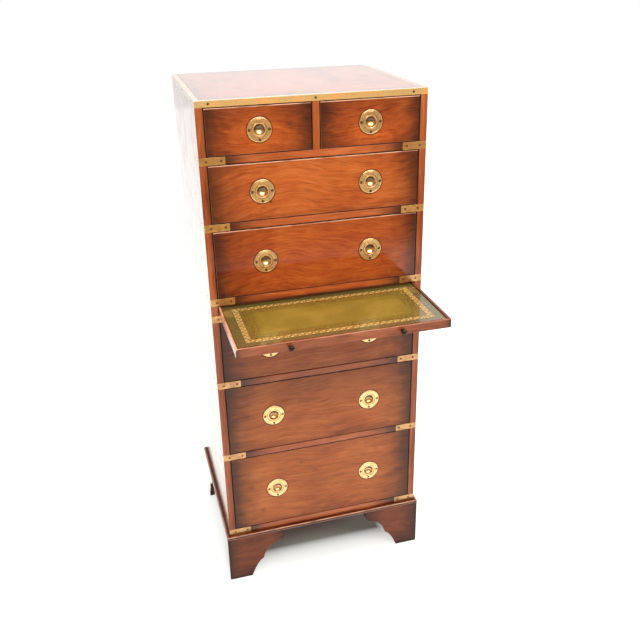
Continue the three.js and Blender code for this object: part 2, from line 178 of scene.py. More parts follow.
# Leather tooling
TOOLED_BAND_INSET = 26.2 * MM
TOOLED_BAND_WIDTH = 10.5 * MM
SCROLL_PITCH = 15 * MM
STEM_HEIGHT = TOOLED_BAND_WIDTH * 0.27
CURL_REACH = TOOLED_BAND_WIDTH * 0.2
CURL_DROP = TOOLED_BAND_WIDTH * 0.12
VINE_HALF_WIDTH = 0.58 * MM
LEAF_RISE = 0.9 * MM
FINE_LINE_HALF_WIDTH = 0.3 * MM
BLIND_LINE_INSET = 56 * MM
BLIND_LINE_INSET_Y = 50 * MM
BLIND_LINE_PITCH = 1.6 * MM
BLIND_LINE_HALF_WIDTH = 0.28 * MM
PETAL_LENGTHS = (4.6 * MM, 3.6 * MM)
PETAL_HALF_WIDTH = 0.75 * MM
TOOLING_HEIGHT = 0.06 * MM
TOOLING_SINK = 0.01 * MM

# Wood figure: how the place wanders as (noise scale, metres, detail), and rings as (per metre, wander)
SEED_STEP = (0.731, 0.413, 0.277)
SWAY, WAVE, RIPPLE = (4.2, 0.15, 1.0), (16.0, 0.014, 3.0), (70.0, 0.0035, 2.0)
PITH_BEHIND, PITH_BESIDE = 0.31, 0.17
RINGS = {"broad": (90, 9), "fine": (280, 25), "hair": (760, 52)}
TONE_WEIGHTS = {"cloud": 0.32, "flame": 0.16, "broad": 0.13, "fine": 0.19, "hair": 0.20}
TONE_STOPS = (0.385, 0.5, 0.615)
# Dark streaks as (the noise that they start below, strength), at their full strength at STREAK_FULL
STREAKS = {"fine": (0.42, 0.14), "hair": (0.44, 0.18), "pores": (0.42, 0.22)}
STREAK_FULL = 0.30
SHADE_UNEVENNESS = 0.45
# Painted shadow round each handle plate on the wood, as its reach and how much colour stays at the rim
RIM_SHADOW_REACH = 4 * MM
RIM_SHADOW_CLEARNESS = 0.12

# Finishes other than full polish
BARE = {"coat": 0.1, "coat_roughness": 0.5}
SHEEN = {"under_gloss": 0.18, "under_level": 0.5}

# Screen colours, 0 to 255
# A dark colour for streaks, knots and the finish's shading, also used for painted shade
STAIN_AND_SHADE = (46, 18, 10)
# Tarnish, also used for painted shade on the handles
TARNISH_AND_SHADE = (66, 42, 20)
# The pale colour of painted highlights
PAINTED_HIGHLIGHT = (240, 178, 142)

# Wood tones, each dark, middle and light
ROW_1_TONES = (152, 58, 16), (196, 88, 30), (218, 114, 46)
ROW_2_TONES = (150, 62, 20), (194, 92, 36), (216, 116, 52)
ROW_3_TONES = (138, 50, 14), (180, 78, 24), (206, 104, 40)
LOWER_TONES = (150, 68, 22), (193, 98, 39), (217, 123, 56)
RAIL_TONES = (158, 72, 30), (194, 96, 46), (218, 124, 68)
# Painted shade: darker tones for the rail above the slide
SHADED_RAIL_TONES = (148, 58, 18), (180, 80, 28), (204, 106, 46)
DIVIDER_TONES = (132, 56, 20), (164, 76, 30), (190, 100, 48)
BASE_TONES = (62, 24, 12), (92, 40, 20), (122, 58, 30)
FOOT_TONES = (92, 37, 15), (137, 64, 30), (168, 90, 48)
STILE_TONES = (138, 60, 26), (178, 88, 44), (204, 114, 66)
SLIDE_TONES = (120, 52, 20), (160, 80, 38), (188, 106, 58)
LIP_TONES = (86, 36, 16), (126, 60, 32), (160, 86, 52)
# Painted light: lighter tones for the slide's sides
LIT_SLIDE_SIDE_TONES = (212, 110, 60), (244, 148, 96), (252, 178, 132)
INSIDE_TONES = (74, 38, 20), (104, 60, 34), (132, 82, 50)
PLAIN_TONES = (168, 120, 72), (192, 144, 96), (210, 168, 122)
SIDE_TONES = (150, 66, 26), (188, 94, 44), (212, 122, 66)
BACK_TONES = (148, 102, 62), (164, 118, 74), (178, 132, 88)

# Leather tones, each dark and light
LEATHER_MIDDLE = (131, 110, 31), (151, 127, 44)
LEATHER_ANTIQUE = (68, 52, 14), (142, 114, 36)
LEATHER_OUTER = (74, 64, 28), (120, 102, 46)


class Graph:
    """Short ways to build a material's nodes."""

    def __init__(self, tree):
        self.tree = tree

    def feed(self, node, inputs):
        """Sets or links a node's inputs, each given by its name or number."""
        for name, value in inputs.items():
            if isinstance(value, bpy.types.NodeSocket):
                self.tree.links.new(value, node.inputs[name])
            else:
                node.inputs[name].default_value = value

    def node(self, kind, inputs=None, **settings):
        made = self.tree.nodes.new(kind)
        for name, value in settings.items():
            setattr(made, name, value)
        self.feed(made, inputs or {})
        return made

    def math(self, operation, first, second=0.0, clamp=False):
        made = self.node("ShaderNodeMath", {0: first, 1: second}, operation=operation, use_clamp=clamp)
        return made.outputs[0]

    def fold(self, operation, values):
        """Combines the values from left to right."""
        result = values[0]
        for value in values[1:]:
            result = self.math(operation, result, value)
        return result

    def total(self, *values):
        return self.fold("ADD", values)

    def product(self, *values):
        return self.fold("MULTIPLY", values)

    def least(self, *values):
        return self.fold("MINIMUM", values)

    def most(self, *values):
        return self.fold("MAXIMUM", values)

    def less(self, first, second, clamp=False):
        return self.math("SUBTRACT", first, second, clamp)

    def apart(self, first, second):
        return self.math("ABSOLUTE", self.less(first, second))

    def hypotenuse(self, first, second):
        return self.math("SQRT", self.total(self.product(first, first), self.product(second, second)))

    def smooth(self, value, start, end, low=0.0, high=1.0):
        """Goes smoothly from low at start to high at end."""
        inputs = {"Value": value, "From Min": start, "From Max": end, "To Min": low, "To Max": high}
        return self.node("ShaderNodeMapRange", inputs, interpolation_type="SMOOTHSTEP").outputs["Result"]

    def mix(self, factor, first, second):
        """Goes from the first colour to the second as factor goes from 0 to 1."""
        return self.node("ShaderNodeMix", {0: factor, 6: first, 7: second}, data_type="RGBA").outputs[2]

    def ramp(self, value, stops):
        made = self.node("ShaderNodeValToRGB", {0: value})
        elements = made.color_ramp.elements
        while len(elements) < len(stops):
            elements.new(0.5)
        for element, (place, colour) in zip(elements, stops):
            element.position = place
            element.color = colour
        return made.outputs[0]

    def place(self):
        return self.node("ShaderNodeTexCoord").outputs["Object"]

    def split(self, vector):
        return self.node("ShaderNodeSeparateXYZ", {0: vector}).outputs

    def combine(self, x, y, z):
        return self.node("ShaderNodeCombineXYZ", {0: x, 1: y, 2: z}).outputs[0]

    def mapped(self, vector, scale=(1, 1, 1), offset=(0, 0, 0)):
        inputs = {"Vector": vector, "Scale": scale, "Location": offset}
        return self.node("ShaderNodeMapping", inputs).outputs[0]

    def vector_math(self, operation, *values):
        return self.node("ShaderNodeVectorMath", dict(enumerate(values)), operation=operation).outputs

    def noise(self, vector, scale, detail, roughness=0.5, distortion=0.0, output="Fac"):
        inputs = {"Vector": vector, "Scale": scale, "Detail": detail, "Roughness": roughness,
                  "Distortion": distortion}
        return self.node("ShaderNodeTexNoise", inputs).outputs[output]

    def warped(self, vector, scale, amount, detail):
        """Moves a place by a slow noise."""
        noise = self.noise(vector, scale, detail, output="Color")
        centred = self.vector_math("SUBTRACT", noise, (0.5,) * 3)[0]
        return self.vector_math("MULTIPLY_ADD", centred, (amount,) * 3, vector)[0]


def rgb(screen_colour):
    """A material's colour from screen values, 0 to 255."""
    def linear(value):
        share = value / 255
        return share / 12.92 if share <= 0.04045 else ((share + 0.055) / 1.055) ** 2.4
    return (*map(linear, screen_colour), 1.0)


def new_material(name):
    material = bpy.data.materials.new(name)
    material.use_nodes = True
    return material, Graph(material.node_tree), material.node_tree.nodes["Principled BSDF"]


def bump(graph, shader, height, strength, distance):
    made = graph.node("ShaderNodeBump", {"Strength": strength, "Distance": distance, "Height": height})
    graph.feed(shader, {"Normal": made.outputs[0]})


# Wood

def distance_inside(graph, place, low, high, axes):
    """How far a point lies inside a box from its nearest face, along the given axes."""
    parts = graph.split(place)
    gaps = []
    for axis in axes:
        gaps += [graph.less(parts[axis], low[axis]), graph.less(high[axis], parts[axis])]
    return graph.least(*gaps)


def distance_to(graph, place, places):
    """How far a point lies from a line or plane with a coordinate for each axis in places."""
    parts = graph.split(place)
    return graph.most(0.0, *[graph.apart(parts[axis], value) for axis, value in places.items()])


def stretched(grain, along, across):
    """A scale for each axis, from one along the grain and one across it."""
    return tuple(along if axis == grain else across for axis in (X, Y, Z))


def streaks(graph, place, grain, along, across, detail, roughness, distortion=0.0):
    scale = stretched(grain, along, across)
    return graph.noise(graph.mapped(place, scale=scale), 1.0, detail, roughness, distortion)


def wood_layers(graph, local, grain, seed, figure):
    """The wood's wandered place and its noises by name, with growth rings about a pith behind the board."""
    def wandered(place, scale, amount, detail):
        return graph.warped(place, scale, amount * figure, detail)

    slow = wandered(local, *SWAY)
    wavy = wandered(wandered(slow, *WAVE), *RIPPLE)
    behind, beside = [axis for axis in (X, Y, Z) if axis != grain]
    pith = [0.0, 0.0, 0.0]
    pith[behind] = PITH_BEHIND - (seed * SEED_STEP[Y] if behind == Y else 0.0)
    pith[beside] = PITH_BESIDE
    from_pith = graph.mapped(wavy, scale=stretched(grain, 0.0, 1.0), offset=pith)
    age = graph.vector_math("LENGTH", from_pith)["Value"]
    along = graph.split(wavy)[grain]
    layers = {
        "wavy": wavy,
        "cloud": graph.noise(slow, 6.0, 3.0, 0.55),
        "flame": streaks(graph, wavy, grain, 38 * figure, 55, 4.0, 0.65, 0.6),
        "pores": streaks(graph, slow, grain, 130, 1500, 2.0, 0.6),
    }
    for name, (per_metre, wander) in RINGS.items():
        spot = graph.combine(graph.product(age, per_metre), graph.product(along, wander * figure), seed)
        layers[name] = graph.noise(spot, 1.0, 2.0, 0.55)
    return layers


def knot_stain(graph, wavy, grain, share):
    """Dark specks with a halo, in the given share of the cells."""
    spot = graph.mapped(wavy, scale=stretched(grain, 30, 42))
    cells = graph.node("ShaderNodeTexVoronoi", {"Vector": spot, "Scale": 1.0}).outputs
    chosen = graph.smooth(graph.split(cells["Color"])[0], 1.0 - share, 1.001 - share)
    speck = graph.smooth(cells["Distance"], 0.04, 0.1, 0.75, 0.0)
    halo = graph.smooth(cells["Distance"], 0.06, 0.4, 0.28, 0.0)
    return graph.product(chosen, graph.most(speck, halo))


def wood(name, tones, grain, seed, figure, knots=0.0, shades=(), fittings=(), worn_and_highlights=(), shaded_places=(),
         under_gloss=0.45, under_level=0.0, coat=1.0, coat_roughness=0.12):
    """Figured wood under polish. grain is the axis that the grain runs along.

    shades are (low, high, axes, reach, strength) boxes, darker towards their faces: partly the finish's
    shaded edges, partly painted shade in the gaps, under the top, above the slide and at the feet.
    fittings are the middles of round plates, with painted shadow along their rims.
    The pale edges are (places, reach, strength), painted highlights, with a coordinate for each axis in
    places.
    The shaded places are given the same way, and get painted shade.
    """
    material, graph, shader = new_material(name)
    place = graph.place()
    local = graph.mapped(place, offset=[seed * step for step in SEED_STEP])
    layers = wood_layers(graph, local, grain, seed, figure)
    tone = graph.total(*[graph.product(layers[layer], weight) for layer, weight in TONE_WEIGHTS.items()])
    colour = graph.ramp(tone, list(zip(TONE_STOPS, map(rgb, tones))))
    stain = graph.total(*[graph.smooth(layers[layer], start, STREAK_FULL, 0.0, strength)
                          for layer, (start, strength) in STREAKS.items()])
    if knots:
        stain = graph.most(stain, knot_stain(graph, layers["wavy"], grain, knots))
    clear = graph.less(1.0, stain, clamp=True)
    for low, high, axes, reach, strength in shades:
        gap = distance_inside(graph, place, low, high, axes)
        swing = graph.total(layers["cloud"], layers["flame"], -1.0)
        uneven = graph.total(gap, graph.product(swing, SHADE_UNEVENNESS * reach))
        clear = graph.product(clear, graph.smooth(uneven, -0.1 * reach, reach, 1.0 - strength, 1.0))
    # Painted shadow round each plate's rim
    for centre in fittings:
        parts = graph.split(graph.mapped(place, scale=(1, 0, 1), offset=[-value for value in centre]))
        from_rim = graph.apart(graph.hypotenuse(parts[X], parts[Z]), PLATE_RADIUS)
        clear = graph.product(clear, graph.smooth(from_rim, 0.0, RIM_SHADOW_REACH, RIM_SHADOW_CLEARNESS, 1.0))
    # Painted shade at the shaded places
    for places, reach, strength in shaded_places:
        away = distance_to(graph, place, places)
        clear = graph.product(clear, graph.smooth(away, 0.3 * reach, reach, 1.0 - strength, 1.0))
    colour = graph.mix(clear, rgb(STAIN_AND_SHADE), colour)
    # Painted highlights along the pale edges
    for places, reach, strength in worn_and_highlights:
        away = distance_to(graph, place, places)
        patchy = graph.smooth(graph.noise(place, 25.0, 2.0), 0.32, 0.56, 0.4, 1.0)
        highlit = graph.product(graph.smooth(away, 0.5 * reach, reach, strength, 0.0), patchy)
        colour = graph.mix(highlit, colour, rgb(PAINTED_HIGHLIGHT))
    patches = graph.noise(local, 30.0, 3.0)
    graph.feed(shader, {
        "Base Color": colour,
        "Roughness": graph.smooth(patches, 0.3, 0.7, under_gloss - 0.05, under_gloss + 0.07),
        "Specular IOR Level": under_level,
        "Coat Weight": coat,
        "Coat Roughness": coat_roughness,
        "Coat IOR": 1.5,
    })
    relief = graph.total(graph.product(layers["hair"], 0.6), graph.product(layers["pores"], 0.4))
    bump(graph, shader, relief, 0.1, 0.15 * MM)
    return material


# Metal

def metal(name, bright, worn_and_highlights, roughness, grain=X, metallic=1.0, tarnish_and_shade=None, lacquer=0.0, level=0.5):
    """Polished metal with fine rubbing marks, a patchy tone and small tarnish spots.

    The mask function, if given, makes a mask of darker places from the graph and the place: tarnish, and
    painted shade on the handles.
    """
    material, graph, shader = new_material(name)
    place = graph.place()
    piece_number = graph.node("ShaderNodeObjectInfo").outputs["Random"]
    varied = graph.vector_math("MULTIPLY_ADD", piece_number, (3.1, 1.7, 2.3), place)[0]
    patch = graph.noise(varied, 60.0, 4.0, 0.6)
    marks = streaks(graph, varied, grain, 60, 1500, 3.0, 0.6)
    specks = graph.smooth(graph.noise(varied, 420.0, 2.0, 0.5), 0.62, 0.74)
    wear_and_painted_light = graph.smooth(graph.total(patch, graph.product(graph.less(marks, 0.5), 0.5)), 0.35, 0.7)
    colour = graph.mix(wear_and_painted_light, rgb(bright), rgb(worn_and_highlights))
    colour = graph.mix(graph.product(specks, 0.3), colour, rgb(TARNISH_AND_SHADE))
    if tarnish_and_shade is not None:
        colour = graph.mix(tarnish_and_shade(graph, place), colour, rgb(TARNISH_AND_SHADE))
    graph.feed(shader, {
        "Base Color": colour,
        "Metallic": metallic,
        "Roughness": graph.smooth(wear_and_painted_light, 0.0, 1.0, roughness, roughness + 0.12),
        "Specular IOR Level": level,
        "Coat Weight": lacquer,
        "Coat Roughness": 0.08,
        "Coat IOR": 1.6,
    })
    bump(graph, shader, marks, 0.05, 0.1 * MM)
    return material


def handle_tarnish_and_shade(graph, place):
    """Dark lines round the ring, in the engraved line and at the rim, and a dark upper half of the bowl."""
    parts = graph.split(place)
    radius = graph.hypotenuse(parts[X], parts[Z])
    # Tarnish in the hollows, with painted shade in the ring's gap and at the plate's rim
    lines = graph.most(*[
        graph.smooth(graph.apart(radius, middle), 0.0, half_width, strength, 0.0)
        for middle, half_width, strength in TARNISH_AND_SHADE_LINES
    ])
    uneven = graph.smooth(graph.noise(place, 260.0, 3.0), 0.3, 0.62, 0.45, 1.0)
    in_bowl = graph.smooth(radius, BOWL_RADIUS - 2 * MM, BOWL_RADIUS - 0.5 * MM, 1.0, 0.0)
    # Painted shade: the bowl's upper half
    bowl_shade = graph.smooth(parts[Z], -5 * MM, 2 * MM, 0.12, 0.92)
    return graph.most(graph.product(lines, uneven), graph.product(in_bowl, bowl_shade))


# Leather

def leather():
    """Olive skiver, antiqued between the gold band and the blind line."""
    material, graph, shader = new_material("leather")
    place = graph.place()

    def inside(inset_x, inset_y):
        low = (LEATHER_LOW.x + inset_x, LEATHER_LOW.y + inset_y, 0)
        high = (LEATHER_HIGH.x - inset_x, LEATHER_HIGH.y - inset_y, 0)
        return distance_inside(graph, place, low, high, (X, Y))

    def toned(tones, noise, start, end):
        return graph.mix(graph.smooth(noise, start, end), *map(rgb, tones))

    cloud = graph.noise(place, 14.0, 5.0, 0.62)
    mottle = graph.noise(place, 230.0, 4.0, 0.7)
    sway = graph.product(graph.less(cloud, 0.5), 12 * MM)
    from_band = graph.total(inside(TOOLED_BAND_INSET, TOOLED_BAND_INSET), sway)
    from_line = graph.total(inside(BLIND_LINE_INSET, BLIND_LINE_INSET_Y), sway)
    middle = toned(LEATHER_MIDDLE, cloud, 0.35, 0.65)
    antique = toned(LEATHER_ANTIQUE, mottle, 0.4, 0.57)
    outer = toned(LEATHER_OUTER, mottle, 0.36, 0.62)
    colour = graph.mix(graph.smooth(from_line, -16 * MM, 12 * MM), antique, middle)
    graph.feed(shader, {
        "Base Color": graph.mix(graph.smooth(from_band, -4 * MM, 6 * MM), outer, colour),
        "Roughness": graph.smooth(mottle, 0.2, 0.8, 0.42, 0.56),
        "Specular IOR Level": 0.3,
        "Coat Weight": 1.0,
        "Coat Roughness": 0.14,
        "Coat IOR": 1.7,
    })
    cells = graph.node("ShaderNodeTexVoronoi", {"Vector": place, "Scale": 900.0}, feature="SMOOTH_F1")
    pebble = graph.total(cells.outputs["Distance"], graph.noise(place, 1500.0, 2.0))
    bump(graph, shader, pebble, 0.25, 0.12 * MM)
    return material


# Meshes

def mesh_from(bm, name):
    mesh = bpy.data.meshes.new(name)
    bmesh.ops.recalc_face_normals(bm, faces=bm.faces)
    bm.to_mesh(mesh)
    bm.free()
    return mesh


def all_smooth(mesh):
    mesh.polygons.foreach_set("use_smooth", [True] * len(mesh.polygons))


def smooth_shaded(mesh, sharp_degrees=30):
    all_smooth(mesh)
    mesh.set_sharp_from_angle(angle=math.radians(sharp_degrees))
    return mesh


def new_object(name, data):
    made = bpy.data.objects.new(name, data)
    bpy.context.scene.collection.objects.link(made)
    return made


def add_piece(name, mesh, material, body, place=(0, 0, 0), replaces=()):
    piece = new_object(name, mesh)
    piece.location = place
    if not mesh.materials:
        mesh.materials.append(material)
    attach(piece, body)
    if replaces:
        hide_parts(*replaces)
    return piece


def modify(piece, name, kind, **settings):
    modifier = piece.modifiers.new(name, kind)
    for setting, value in settings.items():
        setattr(modifier, setting, value)


def combined(first, second, operation):
    """The boolean of two meshes. Both are used up."""
    pieces = [new_object("work", mesh) for mesh in (first, second)]
    modify(pieces[0], "combine", "BOOLEAN", operation=operation, solver="EXACT", object=pieces[1])
    bpy.context.view_layer.update()
    evaluated = pieces[0].evaluated_get(bpy.context.evaluated_depsgraph_get())
    mesh = bpy.data.meshes.new_from_object(evaluated)
    for piece in pieces:
        bpy.data.objects.remove(piece)
    return mesh


def skin(bm, loops):
    """Faces between each loop of points and the next. A loop can be a single point."""
    for lower, upper in zip(loops, loops[1:]):
        steps = max(len(lower), len(upper))
        for i in range(steps):
            j = (i + 1) % steps
            corners = [loop[k % len(loop)] for loop, k in ((lower, i), (lower, j), (upper, j), (upper, i))]
            bm.faces.new(list(dict.fromkeys(corners)))


def lathe(profile, steps):
    """A solid turned about the Y axis from [radius, depth] points that start and end on it."""
    bm = bmesh.new()
    turns = [2 * math.pi * i / steps for i in range(steps)]
    rings = []
    for radius, depth in profile:
        if radius < 1e-7:
            rings.append([bm.verts.new((0, depth, 0))])
        else:
            rings.append([bm.verts.new((radius * math.cos(t), depth, radius * math.sin(t))) for t in turns])
    skin(bm, rings)
    return mesh_from(bm, "turned")


def block(low, high):
    bm = bmesh.new()
    bmesh.ops.create_cube(bm, size=1.0)
    middle = (Vector(low) + Vector(high)) / 2
    size = Vector(high) - Vector(low)
    for vert in bm.verts:
        vert.co = middle + Vector(a * b for a, b in zip(vert.co, size))
    return mesh_from(bm, "block")


def extruded(outline, z0, z1, name):
    """A solid from an [x, y] outline, between two heights."""
    bm = bmesh.new()
    lower = [bm.verts.new((x, y, z0)) for x, y in outline]
    upper = [bm.verts.new((x, y, z1)) for x, y in outline]
    bm.faces.new(lower)
    bm.faces.new(upper)
    skin(bm, [lower, upper])
    return mesh_from(bm, name)


def bevelled(piece, width, segments=3, limit_degrees=30):
    modify(piece, "eased edges", "BEVEL", width=width, segments=segments, limit_method="ANGLE",
           angle_limit=math.radians(limit_degrees), miter_outer="MITER_ARC")
    modify(piece, "even shading", "WEIGHTED_NORMAL", keep_sharp=False)


def dressed(node, material, ease, facing=()):
    """A copy of a node in clean flat faces, with its edges eased, that stands for the node.

    facing are (direction, material) pairs for the faces that look in one direction.
    """
    source = frame["nodes"][node]
    bm = bmesh.new()
    bm.from_mesh(source.data)
    bmesh.ops.remove_doubles(bm, verts=bm.verts, dist=1e-6)
    bmesh.ops.dissolve_limit(bm, angle_limit=math.radians(1), verts=bm.verts, edges=bm.edges)
    mesh = mesh_from(bm, node)
    for attribute in [a for a in mesh.attributes if a.name == "custom_normal"]:
        mesh.attributes.remove(attribute)
    all_smooth(mesh)
    mesh.materials.append(material)
    for i, (direction, other) in enumerate(facing):
        mesh.materials.append(other)
        for face in mesh.polygons:
            if face.normal.dot(Vector(direction)) > FACING_COSINE:
                face.material_index = i + 1
    piece = add_piece(f"{node}_dressed", mesh, material, source["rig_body"], replaces=(node,))
    bevelled(piece, ease)


def joined(placed_meshes, name):
    """One mesh from (mesh, matrix) pairs, smooth shaded."""
    bm = bmesh.new()
    for mesh, matrix in placed_meshes:
        copy = mesh.copy()
        copy.transform(matrix)
        bm.from_mesh(copy)
        bpy.data.meshes.remove(copy)
    made = bpy.data.meshes.new(name)
    bm.to_mesh(made)
    bm.free()
    return smooth_shaded(made)


def moved(*place):
    return Matrix.Translation(place)


def turned(angle, axis):
    return Matrix.Rotation(angle, 4, axis)


# Ring handles

def bowl_profile(radius, rim_depth, depth, steps=14):
    sphere = (radius ** 2 + depth ** 2) / (2 * depth)
    outs = [radius * math.sin(math.pi / 2 * i / steps) for i in range(steps + 1)]
    return [(out, rim_depth + depth - sphere + math.sqrt(sphere ** 2 - out ** 2)) for out in outs]


def plate_mesh():
    """The round plate: a rounded rim, an engraved line, the ring's channel and the bowl."""
    rim = []
    for i in range(7):
        turn = math.pi / 2 * i / 6
        rim.append((
            PLATE_RADIUS - PLATE_RIM * (1 - math.sin(turn)),
            PLATE_THICKNESS / 2 * (1 - math.cos(turn)),
        ))
    profile = [
        *bowl_profile(BOWL_RADIUS, CHANNEL_DEPTH, BOWL_DEPTH),
        (CHANNEL_RADIUS - CHANNEL_EASE, CHANNEL_DEPTH),
        (CHANNEL_RADIUS, CHANNEL_DEPTH - CHANNEL_EASE),
        (CHANNEL_RADIUS, CHANNEL_EASE),
        (CHANNEL_RADIUS + CHANNEL_EASE, 0.0),
        *[(ENGRAVED_RADIUS + out * ENGRAVED_DEPTH, down * ENGRAVED_DEPTH)
          for out, down in ((-2, 0), (-1, 1), (1, 1), (2, 0))],
        *rim,
        (PLATE_RADIUS, PLATE_THICKNESS),
        (CHANNEL_RADIUS + PLATE_WALL, PLATE_THICKNESS),
        (CHANNEL_RADIUS + PLATE_WALL, CHANNEL_DEPTH + PLATE_WALL),
        *reversed(bowl_profile(BOWL_RADIUS + PLATE_WALL, CHANNEL_DEPTH + PLATE_WALL, BOWL_DEPTH)),
    ]
    slot_half = TAB_HALF_WIDTH + TAB_SIDE_GAP
    lug_half = slot_half + LUG_SIDE
    barrel_top = PIVOT_OFFSET + RING_HALF_THICKNESS
    lug = block(
        (-lug_half, LUG_FACE, CHANNEL_RADIUS),
        (lug_half, CHANNEL_DEPTH + PLATE_WALL, barrel_top + LUG_END),
    )
    slot = block(
        (-slot_half, -CUT_MARGIN, RING_RADIUS),
        (slot_half, CHANNEL_DEPTH - 0.01 * MM, barrel_top + TAB_END_GAP),
    )
    plate = combined(lathe(profile, 96), lug, "UNION")
    return smooth_shaded(combined(plate, slot, "DIFFERENCE"))


def squared(value):
    """Draws a sine towards the corners of its square."""
    return math.copysign(abs(value) ** RING_SQUARENESS, value)


def ring_mesh():
    """The flattened ring with its tab and hinge barrel, about the plate's middle."""
    bm = bmesh.new()
    loops = []
    for i in range(RING_STEPS):
        turn = 2 * math.pi * i / RING_STEPS
        loop = []
        for k in range(RING_SECTION_STEPS):
            tilt = 2 * math.pi * k / RING_SECTION_STEPS
            out = RING_RADIUS + RING_HALF_WIDTH * squared(math.cos(tilt))
            depth = RING_HALF_THICKNESS * (1 + squared(math.sin(tilt)))
            loop.append(bm.verts.new((out * math.cos(turn), depth, out * math.sin(turn))))
        loops.append(loop)
    skin(bm, loops + loops[:1])
    side, thick, ease = TAB_HALF_WIDTH, RING_HALF_THICKNESS, BARREL_EASE
    tab = block((-side, 0.1 * MM, RING_RADIUS), (side, 2 * thick, PIVOT_OFFSET))
    ring = combined(mesh_from(bm, "ring"), tab, "UNION")
    barrel = lathe([(0, -side), (thick - ease, -side), (thick, ease - side),
                    (thick, side - ease), (thick - ease, side), (0, side)], 24)
    barrel.transform(moved(0, thick, PIVOT_OFFSET) @ turned(math.pi / 2, "Z"))
    return smooth_shaded(combined(ring, barrel, "UNION"), 40)


def screw_mesh(radius):
    """A countersunk slotted head that faces -Y, with its face at y = 0."""
    head = lathe([
        (0, -SCREW_CROWN),
        (radius * 0.55, -SCREW_CROWN * 0.8),
        (radius * 0.9, -SCREW_CROWN * 0.25),
        (radius, 0.1 * MM),
        (radius * 0.8, SCREW_BACK),
        (0, SCREW_BACK),
    ], 32)
    slot = block(
        (-radius * 1.2, -CUT_MARGIN, -SCREW_SLOT_HALF_WIDTH),
        (radius * 1.2, SCREW_SLOT_DEPTH, SCREW_SLOT_HALF_WIDTH),
    )
    return smooth_shaded(combined(head, slot, "DIFFERENCE"))


def add_handles(upper_brass, shaded_lower_brass, screw_metal):
    plate, ring, screw = plate_mesh(), ring_mesh(), screw_mesh(HANDLE_SCREW_RADIUS)
    spots = ((-HANDLE_SCREW_CIRCLE, 0, 0), (HANDLE_SCREW_CIRCLE, 0, 0), (0, 0, -HANDLE_SCREW_CIRCLE))
    screws = joined([(screw, moved(*spot) @ turned(turn, "Y"))
                     for spot, turn in zip(spots, HANDLE_SCREW_TURNS)], "plate_screws")
    for node in [n for n in frame["nodes"] if "_plate" in n]:
        low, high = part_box(node)
        place = ((low.x + high.x) / 2, low.y, (low.z + high.z) / 2)
        body = frame["nodes"][node]["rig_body"]
        ring_node = node.replace("_plate", "_ring")
        brass = upper_brass if low.z > SLIDE_HIGH.z else shaded_lower_brass
        plate_piece = add_piece(f"{node}_dressed", plate, brass, body, place, (node,))
        add_piece(f"{node}_screws", screws, screw_metal, body, place)
        ring_piece = add_piece(f"{ring_node}_dressed", ring, brass, ring_node, place, (ring_node,))
        for piece in (plate_piece, ring_piece):
            bevelled(piece, HANDLE_EASE, 2, 40)


# Straps and edging screws

def add_straps(upper_brass, shaded_lower_brass, screw_metal):
    """An L of brass round each end of each rail."""
    screw = screw_mesh(STRAP_SCREW_RADIUS)
    length, leaf = STRAP_LENGTH - STRAP_CLEARANCE, STRAP_THICKNESS - STRAP_CLEARANCE
    outline = [(0, 0), (length, 0), (length, leaf), (leaf, leaf), (leaf, length), (0, length)]
    for node in RAILS:
        low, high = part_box(node)
        middle = (low.z + high.z) / 2
        brass = upper_brass if low.z > SLIDE_LOW.z - 20 * MM else shaded_lower_brass
        for hand, side, edge in (("left", -1, CHEST_LOW.x), ("right", 1, CHEST_HIGH.x)):
            placed = [(edge - side * x, FRONT_Y + y) for x, y in outline]
            bottom, top = low.z + STRAP_CLEARANCE, high.z - STRAP_CLEARANCE
            mesh = extruded(placed, bottom, top, f"strap_{node}_{hand}")
            all_smooth(mesh)
            name = f"strap_{node.replace('rail_under_', '')}_{hand}"
            bevelled(add_piece(name, mesh, brass, "carcass"), 0.35 * MM, 2)
            heads = []
            for i, inset in enumerate(STRAP_SCREW_INSETS):
                turn = turned(0.7 + 1.9 * i + low.z * 31 + side, "Y")
                front = moved(edge - side * inset, FRONT_Y, middle)
                flank = moved(edge, FRONT_Y + inset, middle)
                heads.append((screw, front @ turn))
                heads.append((screw, flank @ turned(side * math.pi / 2, "Z") @ turn))
            name = f"{name}_screws"
            add_piece(name, joined(heads, name), screw_metal, "carcass")


def add_edging_screws(screw_metal):
    screw = screw_mesh(EDGING_SCREW_RADIUS)
    low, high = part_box("top_edging")
    middle = (low.z + high.z) / 2
    heads = []
    for i, x in enumerate(EDGING_SCREW_XS):
        heads.append((screw, moved(x, low.y, middle) @ turned(0.5 + i, "Y")))
    for side, x in ((-1, low.x), (1, high.x)):
        outward = turned(side * math.pi / 2, "Z")
        for i, share in enumerate(EDGING_SCREW_SHARES):
            place = moved(x, low.y + share * (high.y - low.y), middle)
            heads.append((screw, place @ outward @ turned(i, "Y")))
    add_piece("edging_screws", joined(heads, "edging_screws"), screw_metal, "carcass")


# Brushing slide

def add_knobs(material):
    """Turned knobs with a collar, a neck and a domed head."""
    for node in ("slide_knob_left", "slide_knob_right"):
        low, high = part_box(node)
        radius = (high.x - low.x) / 2
        face = SLIDE_LOW.y - KNOB_SINK
        outline = [(out * radius, -along * (face - low.y)) for out, along in KNOB_PROFILE]
        mesh = smooth_shaded(lathe([(0, KNOB_ROOT), *outline], 48), 50)
        place = ((low.x + high.x) / 2, face, (low.z + high.z) / 2)
        knob = add_piece(f"{node}_dressed", mesh, material, "slide", place, (node,))
        modify(knob, "smoother", "SUBSURF", levels=1, render_levels=1)


